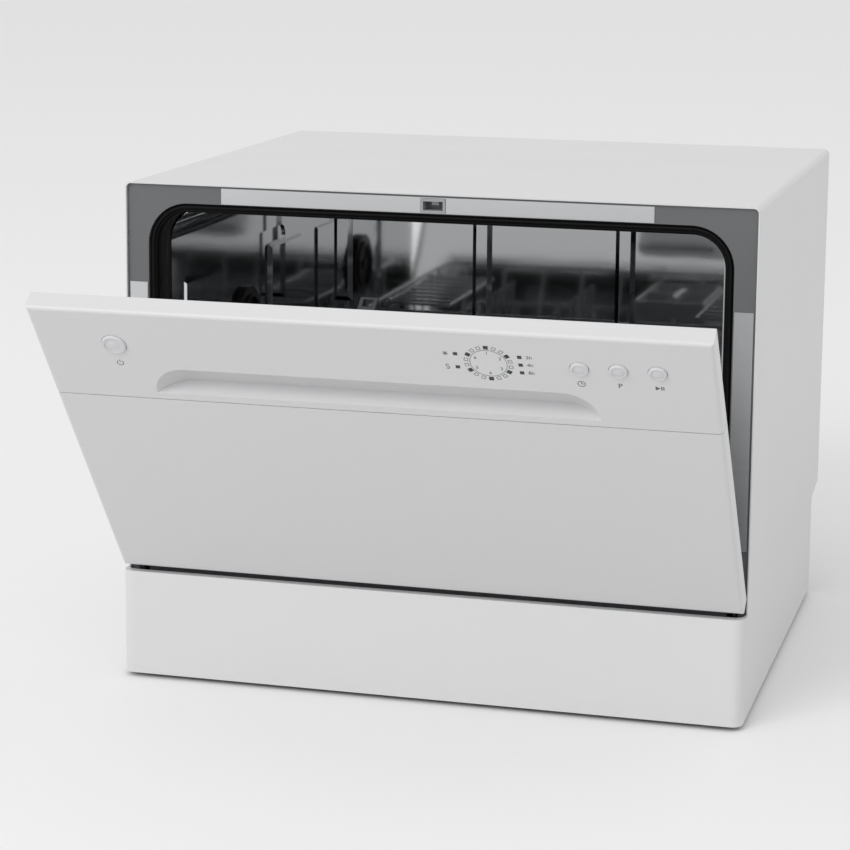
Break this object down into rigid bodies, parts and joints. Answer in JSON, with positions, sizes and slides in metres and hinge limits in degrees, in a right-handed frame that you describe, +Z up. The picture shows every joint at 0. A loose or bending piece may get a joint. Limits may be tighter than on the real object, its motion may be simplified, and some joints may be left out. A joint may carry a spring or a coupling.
{
  "type": "countertop dishwasher",
  "caption": "Compact dishwasher with a drop-down door standing ajar, steel tub, wire basket on wheels, spray arm, filters, dispenser and moulded control panel.",
  "frame": {"origin": "centre of the bounding box's underside, with the feet on z = 0 and the door standing ajar", "axes": "+Y from the open door towards the rear panel, +X to the right seen from the front, +Z up"},
  "size_m": [0.55, 0.6998, 0.438],
  "materials": {
    "white_painted_steel": "smooth semi-gloss white powder coat",
    "white_moulding": "fine satin white moulding",
    "button_white": "gloss light grey-white caps",
    "grey_painted_frame": "dark grey satin coat",
    "trim_grey": "pale satin strip",
    "stainless": "polished stainless sheet",
    "galvanised": "dull zinc-coated sheet",
    "black_rubber": "matte black seal rubber",
    "dark_rubber": "matte foot rubber",
    "grey_plastic": "grey moulded polypropylene",
    "dark_plastic": "near-black moulded plastic",
    "cream_plastic": "milky moulded polypropylene",
    "light_plastic": "light grey moulded plastic",
    "coated_wire": "grey nylon-coated wire",
    "hinge_steel": "plain pressed steel",
    "spring_steel": "oiled spring wire",
    "circuit_green": "lacquered board",
    "dark_light_pipe": "dark clear light pipe"
  },
  "bodies": {
    "cabinet": {"cabinet_wrap": "white_painted_steel", "rear_panel": "galvanised", "rear_screws": "hinge_steel", "plinth": "white_moulding", "base_tray": "grey_plastic", "levelling_feet": "dark_rubber", "front_frame": "grey_painted_frame", "top_trim_strip": "trim_grey", "side_trim_strips": "trim_grey", "door_gasket": "black_rubber", "door_latch": "dark_plastic", "tub": "stainless", "tub_floor": "stainless", "vent_cap": "dark_plastic", "air_breather": "cream_plastic", "sump": "cream_plastic", "filter_plate": "stainless", "spray_hub": "light_plastic", "circulation_pump": "dark_plastic", "flow_heater": "stainless", "drain_pump": "dark_plastic", "drain_hose": "grey_plastic", "softener_tank": "cream_plastic", "float_switch": "dark_plastic", "inlet_valve": "light_plastic", "drain_outlet": "grey_plastic", "cord_gland": "dark_plastic", "hinge_brackets": "hinge_steel", "hinge_springs": "spring_steel"},
    "door": {"outer_door_panel": "white_painted_steel", "control_panel": "white_moulding", "inner_door_panel": "stainless", "lower_door_seal": "black_rubber", "door_striker": "hinge_steel", "hinge_arms": "hinge_steel", "control_board": "circuit_green", "indicator_lights": "dark_light_pipe", "dispenser_body": "light_plastic"},
    "latch_catch": {"latch_catch": "light_plastic"},
    "power_button": {"power_button": "button_white"},
    "delay_button": {"delay_button": "button_white"},
    "program_button": {"program_button": "button_white"},
    "start_button": {"start_button": "button_white"},
    "detergent_lid": {"detergent_lid": "light_plastic"},
    "lid_latch": {"lid_latch": "light_plastic"},
    "rinse_aid_cap": {"rinse_aid_cap": "light_plastic"},
    "basket": {"basket_frame": "coated_wire", "plate_tines": "coated_wire"},
    "cutlery_basket": {"cutlery_basket": "grey_plastic"},
    "cup_shelf_left": {"cup_shelf_left": "coated_wire"},
    "cup_shelf_right": {"cup_shelf_right": "coated_wire"},
    "wheel_front_left": {"wheel_front_left": "grey_plastic"},
    "wheel_front_right": {"wheel_front_right": "grey_plastic"},
    "wheel_rear_left": {"wheel_rear_left": "grey_plastic"},
    "wheel_rear_right": {"wheel_rear_right": "grey_plastic"},
    "spray_arm": {"spray_arm": "grey_plastic"},
    "coarse_filter": {"coarse_filter": "light_plastic"},
    "salt_cap": {"salt_cap": "grey_plastic"},
    "float_dome": {"float_dome": "grey_plastic"}
  },
  "joints": [
    {"name": "door_hinge", "type": "hinge", "parent": "cabinet", "child": "door", "pos_m": [0, -0.14051, 0.107], "axis": [1, 0, 0], "range_deg": [-37.8, 52.2], "deforming": ["hinge_springs"]},
    {"name": "basket_slide", "type": "slide", "parent": "cabinet", "child": "basket", "axis": [0, -1, 0], "range_m": [-0.066, 0.0912]},
    {"name": "latch_catch_lift", "type": "slide", "parent": "cabinet", "child": "latch_catch", "axis": [0, 0, 1], "range_m": [0, 0.0025], "stiffness_N_per_m": 400, "springref_m": -0.001},
    {"name": "power_press", "type": "slide", "parent": "door", "child": "power_button", "axis": [0, 0.7902, 0.6129], "range_m": [0, 0.0015], "stiffness_N_per_m": 900, "springref_m": -0.0008},
    {"name": "delay_press", "type": "slide", "parent": "door", "child": "delay_button", "axis": [0, 0.7902, 0.6129], "range_m": [0, 0.0015], "stiffness_N_per_m": 900, "springref_m": -0.0008},
    {"name": "program_press", "type": "slide", "parent": "door", "child": "program_button", "axis": [0, 0.7902, 0.6129], "range_m": [0, 0.0015], "stiffness_N_per_m": 900, "springref_m": -0.0008},
    {"name": "start_press", "type": "slide", "parent": "door", "child": "start_button", "axis": [0, 0.7902, 0.6129], "range_m": [0, 0.0015], "stiffness_N_per_m": 900, "springref_m": -0.0008},
    {"name": "detergent_lid_hinge", "type": "hinge", "parent": "door", "child": "detergent_lid", "pos_m": [0.05, -0.22075, 0.2713], "axis": [-1, 0, 0], "range_deg": [0, 100]},
    {"name": "lid_latch_slide", "type": "slide", "parent": "door", "child": "lid_latch", "axis": [0, -0.6129, 0.7902], "range_m": [0, 0.004], "stiffness_N_per_m": 300, "springref_m": -0.001},
    {"name": "rinse_aid_cap_turn", "type": "hinge", "parent": "door", "child": "rinse_aid_cap", "pos_m": [0.136, -0.24479, 0.29821], "axis": [0, 0.7902, 0.6129], "range_deg": [0, 90]},
    {"name": "cutlery_basket_lift", "type": "slide", "parent": "basket", "child": "cutlery_basket", "axis": [0, 0, 1], "range_m": [0, 0.1]},
    {"name": "cup_shelf_left_fold", "type": "hinge", "parent": "basket", "child": "cup_shelf_left", "pos_m": [-0.203, 0.02452, 0.247], "axis": [0, -1, 0], "range_deg": [0, 85]},
    {"name": "cup_shelf_right_fold", "type": "hinge", "parent": "basket", "child": "cup_shelf_right", "pos_m": [0.203, 0.02452, 0.247], "axis": [0, 1, 0], "range_deg": [0, 85]},
    {"name": "wheel_front_left_roll", "type": "hinge", "parent": "basket", "child": "wheel_front_left", "pos_m": [-0.217, -0.00048, 0.1503], "axis": [1, 0, 0], "continuous": true},
    {"name": "wheel_front_right_roll", "type": "hinge", "parent": "basket", "child": "wheel_front_right", "pos_m": [0.217, -0.00048, 0.1503], "axis": [1, 0, 0], "continuous": true},
    {"name": "wheel_rear_left_roll", "type": "hinge", "parent": "basket", "child": "wheel_rear_left", "pos_m": [-0.217, 0.16952, 0.1503], "axis": [1, 0, 0], "continuous": true},
    {"name": "wheel_rear_right_roll", "type": "hinge", "parent": "basket", "child": "wheel_rear_right", "pos_m": [0.217, 0.16952, 0.1503], "axis": [1, 0, 0], "continuous": true},
    {"name": "spray_arm_turn", "type": "hinge", "parent": "cabinet", "child": "spray_arm", "pos_m": [0, 0.08749, 0.131], "axis": [0, 0, 1], "continuous": true},
    {"name": "coarse_filter_turn", "type": "hinge", "parent": "cabinet", "child": "coarse_filter", "pos_m": [0.023, 0.06449, 0.08], "axis": [0, 0, 1], "range_deg": [0, 90]},
    {"name": "salt_cap_turn", "type": "hinge", "parent": "cabinet", "child": "salt_cap", "pos_m": [-0.172, 0.22849, 0.125], "axis": [0, 0, 1], "range_deg": [0, 90]},
    {"name": "float_lift", "type": "slide", "parent": "cabinet", "child": "float_dome", "axis": [0, 0, 1], "range_m": [0, 0.007]}
  ],
  "couplings": [
    {"joint": "basket_slide", "follows": "door_hinge", "m_per_rad": 0.1},
    {"joint": "wheel_front_left_roll", "follows": "door_hinge", "ratio": 9.0909},
    {"joint": "wheel_front_right_roll", "follows": "door_hinge", "ratio": 9.0909},
    {"joint": "wheel_rear_left_roll", "follows": "door_hinge", "ratio": 9.0909},
    {"joint": "wheel_rear_right_roll", "follows": "door_hinge", "ratio": 9.0909}
  ]
}
